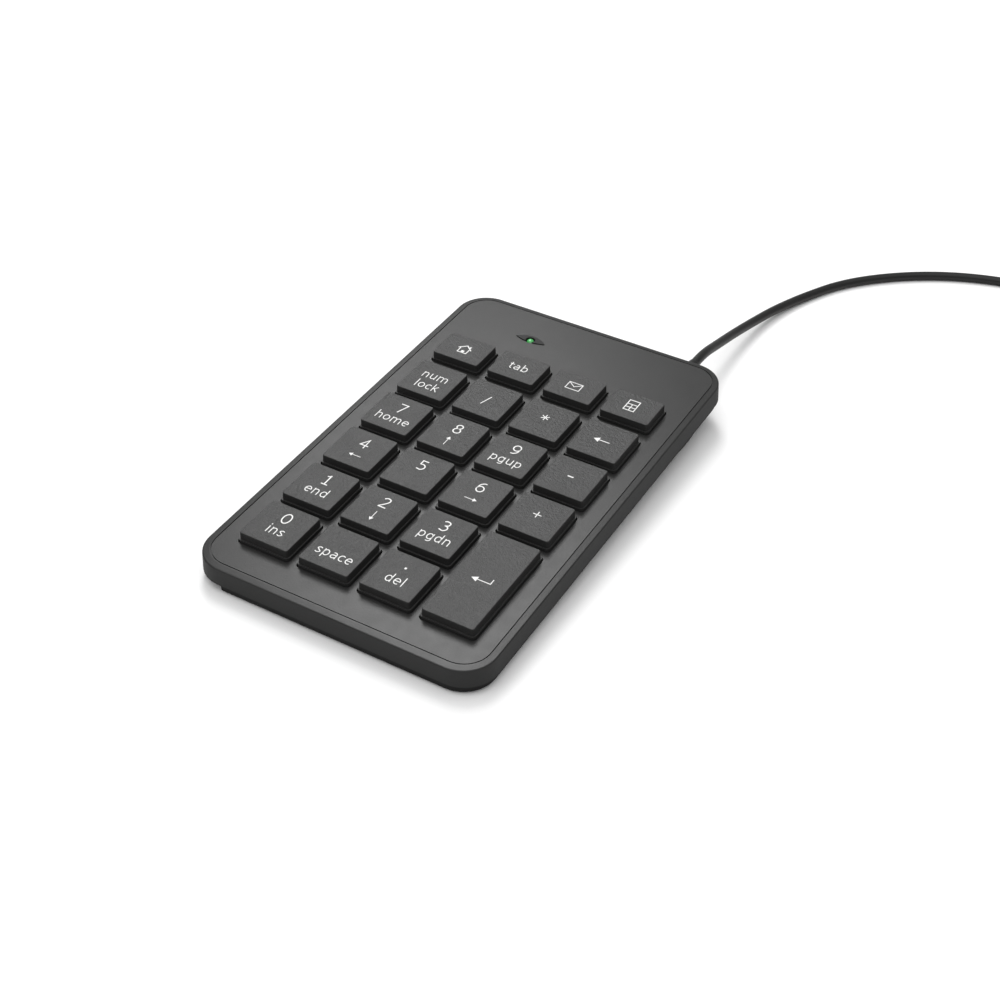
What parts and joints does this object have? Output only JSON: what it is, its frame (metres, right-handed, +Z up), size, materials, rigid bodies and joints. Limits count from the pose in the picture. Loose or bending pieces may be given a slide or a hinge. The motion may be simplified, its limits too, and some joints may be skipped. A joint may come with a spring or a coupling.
{
  "type": "numeric keypad",
  "caption": "Slim rectangular corded keypad: a sunk deck under a sloping rim, raised island keys on rubber domes, one tall key, a status light, a rear hump and a USB plug.",
  "frame": {"origin": "middle of the object's footprint, on the surface that its feet stand on, the cord left out", "axes": "+X to the user's right across the case, +Y away from the user along the case's tilted length, +Z up"},
  "size_m": [0.2087, 0.275, 0.0168],
  "materials": {
    "key_plastic": "fine grained matte",
    "deck_plastic": "satin",
    "base_plastic": "fine texture",
    "foot_rubber": "matte",
    "plate_steel": "plated",
    "membrane_film": "clear film",
    "dome_rubber": "milky silicone",
    "screw_steel": "zinc plated",
    "board_laminate": "solder resist",
    "chip_resin": "moulded",
    "connector_plastic": "moulded",
    "led_resin": "clear green",
    "contact_metal": "gold plated",
    "cord_jacket": "satin",
    "wire_insulation": "gloss",
    "shell_metal": "bright",
    "legend_ink": "white print"
  },
  "bodies": {
    "case": {"top_cover": "deck_plastic", "bottom_cover": "base_plastic", "front_feet": "foot_rubber", "rear_feet": "foot_rubber", "backing_plate": "plate_steel", "membrane_bottom": "membrane_film", "membrane_spacer": "membrane_film", "membrane_top": "membrane_film", "dome_sheet": "dome_rubber", "key_frame": "base_plastic", "case_screws": "screw_steel", "clamp_screws": "screw_steel", "membrane_clamp": "base_plastic", "controller_board": "board_laminate", "controller_chip": "chip_resin", "board_components": "chip_resin", "cable_connector": "connector_plastic", "status_led": "led_resin", "led_leads": "contact_metal", "strain_relief": "cord_jacket", "wires": "wire_insulation", "cord_lead": "cord_jacket", "cord_coil": "cord_jacket", "cord_tail": "cord_jacket", "plug_grip": "cord_jacket", "plug_shell": "shell_metal", "plug_insulator": "connector_plastic", "plug_contacts": "contact_metal"},
    "key_0": {"key_0": "key_plastic"},
    "key_space": {"key_space": "key_plastic"},
    "key_decimal": {"key_decimal": "key_plastic"},
    "key_1": {"key_1": "key_plastic"},
    "key_2": {"key_2": "key_plastic"},
    "key_3": {"key_3": "key_plastic"},
    "key_4": {"key_4": "key_plastic"},
    "key_5": {"key_5": "key_plastic"},
    "key_6": {"key_6": "key_plastic"},
    "key_plus": {"key_plus": "key_plastic"},
    "key_7": {"key_7": "key_plastic"},
    "key_8": {"key_8": "key_plastic"},
    "key_9": {"key_9": "key_plastic"},
    "key_minus": {"key_minus": "key_plastic"},
    "key_num_lock": {"key_num_lock": "key_plastic"},
    "key_divide": {"key_divide": "key_plastic"},
    "key_multiply": {"key_multiply": "key_plastic"},
    "key_backspace": {"key_backspace": "key_plastic"},
    "key_enter": {"key_enter": "key_plastic"},
    "key_home_page": {"key_home_page": "key_plastic"},
    "key_tab": {"key_tab": "key_plastic"},
    "key_mail": {"key_mail": "key_plastic"},
    "key_calculator": {"key_calculator": "key_plastic"}
  },
  "joints": [
    {"name": "key_0_press", "type": "slide", "parent": "case", "child": "key_0", "axis": [0, 0.0438, -0.999], "range_m": [0, 0.002], "stiffness_N_per_m": 200, "springref_m": -0.001, "deforming": ["dome_sheet"]},
    {"name": "key_space_press", "type": "slide", "parent": "case", "child": "key_space", "axis": [0, 0.0438, -0.999], "range_m": [0, 0.002], "stiffness_N_per_m": 200, "springref_m": -0.001, "deforming": ["dome_sheet"]},
    {"name": "key_decimal_press", "type": "slide", "parent": "case", "child": "key_decimal", "axis": [0, 0.0438, -0.999], "range_m": [0, 0.002], "stiffness_N_per_m": 200, "springref_m": -0.001, "deforming": ["dome_sheet"]},
    {"name": "key_1_press", "type": "slide", "parent": "case", "child": "key_1", "axis": [0, 0.0438, -0.999], "range_m": [0, 0.002], "stiffness_N_per_m": 200, "springref_m": -0.001, "deforming": ["dome_sheet"]},
    {"name": "key_2_press", "type": "slide", "parent": "case", "child": "key_2", "axis": [0, 0.0438, -0.999], "range_m": [0, 0.002], "stiffness_N_per_m": 200, "springref_m": -0.001, "deforming": ["dome_sheet"]},
    {"name": "key_3_press", "type": "slide", "parent": "case", "child": "key_3", "axis": [0, 0.0438, -0.999], "range_m": [0, 0.002], "stiffness_N_per_m": 200, "springref_m": -0.001, "deforming": ["dome_sheet"]},
    {"name": "key_4_press", "type": "slide", "parent": "case", "child": "key_4", "axis": [0, 0.0438, -0.999], "range_m": [0, 0.002], "stiffness_N_per_m": 200, "springref_m": -0.001, "deforming": ["dome_sheet"]},
    {"name": "key_5_press", "type": "slide", "parent": "case", "child": "key_5", "axis": [0, 0.0438, -0.999], "range_m": [0, 0.002], "stiffness_N_per_m": 200, "springref_m": -0.001, "deforming": ["dome_sheet"]},
    {"name": "key_6_press", "type": "slide", "parent": "case", "child": "key_6", "axis": [0, 0.0438, -0.999], "range_m": [0, 0.002], "stiffness_N_per_m": 200, "springref_m": -0.001, "deforming": ["dome_sheet"]},
    {"name": "key_plus_press", "type": "slide", "parent": "case", "child": "key_plus", "axis": [0, 0.0438, -0.999], "range_m": [0, 0.002], "stiffness_N_per_m": 200, "springref_m": -0.001, "deforming": ["dome_sheet"]},
    {"name": "key_7_press", "type": "slide", "parent": "case", "child": "key_7", "axis": [0, 0.0438, -0.999], "range_m": [0, 0.002], "stiffness_N_per_m": 200, "springref_m": -0.001, "deforming": ["dome_sheet"]},
    {"name": "key_8_press", "type": "slide", "parent": "case", "child": "key_8", "axis": [0, 0.0438, -0.999], "range_m": [0, 0.002], "stiffness_N_per_m": 200, "springref_m": -0.001, "deforming": ["dome_sheet"]},
    {"name": "key_9_press", "type": "slide", "parent": "case", "child": "key_9", "axis": [0, 0.0438, -0.999], "range_m": [0, 0.002], "stiffness_N_per_m": 200, "springref_m": -0.001, "deforming": ["dome_sheet"]},
    {"name": "key_minus_press", "type": "slide", "parent": "case", "child": "key_minus", "axis": [0, 0.0438, -0.999], "range_m": [0, 0.002], "stiffness_N_per_m": 200, "springref_m": -0.001, "deforming": ["dome_sheet"]},
    {"name": "key_num_lock_press", "type": "slide", "parent": "case", "child": "key_num_lock", "axis": [0, 0.0438, -0.999], "range_m": [0, 0.002], "stiffness_N_per_m": 200, "springref_m": -0.001, "deforming": ["dome_sheet"]},
    {"name": "key_divide_press", "type": "slide", "parent": "case", "child": "key_divide", "axis": [0, 0.0438, -0.999], "range_m": [0, 0.002], "stiffness_N_per_m": 200, "springref_m": -0.001, "deforming": ["dome_sheet"]},
    {"name": "key_multiply_press", "type": "slide", "parent": "case", "child": "key_multiply", "axis": [0, 0.0438, -0.999], "range_m": [0, 0.002], "stiffness_N_per_m": 200, "springref_m": -0.001, "deforming": ["dome_sheet"]},
    {"name": "key_backspace_press", "type": "slide", "parent": "case", "child": "key_backspace", "axis": [0, 0.0438, -0.999], "range_m": [0, 0.002], "stiffness_N_per_m": 200, "springref_m": -0.001, "deforming": ["dome_sheet"]},
    {"name": "key_enter_press", "type": "slide", "parent": "case", "child": "key_enter", "axis": [0, 0.0438, -0.999], "range_m": [0, 0.002], "stiffness_N_per_m": 200, "springref_m": -0.001, "deforming": ["dome_sheet"]},
    {"name": "key_home_page_press", "type": "slide", "parent": "case", "child": "key_home_page", "axis": [0, 0.0438, -0.999], "range_m": [0, 0.002], "stiffness_N_per_m": 200, "springref_m": -0.001, "deforming": ["dome_sheet"]},
    {"name": "key_tab_press", "type": "slide", "parent": "case", "child": "key_tab", "axis": [0, 0.0438, -0.999], "range_m": [0, 0.002], "stiffness_N_per_m": 200, "springref_m": -0.001, "deforming": ["dome_sheet"]},
    {"name": "key_mail_press", "type": "slide", "parent": "case", "child": "key_mail", "axis": [0, 0.0438, -0.999], "range_m": [0, 0.002], "stiffness_N_per_m": 200, "springref_m": -0.001, "deforming": ["dome_sheet"]},
    {"name": "key_calculator_press", "type": "slide", "parent": "case", "child": "key_calculator", "axis": [0, 0.0438, -0.999], "range_m": [0, 0.002], "stiffness_N_per_m": 200, "springref_m": -0.001, "deforming": ["dome_sheet"]}
  ]
}
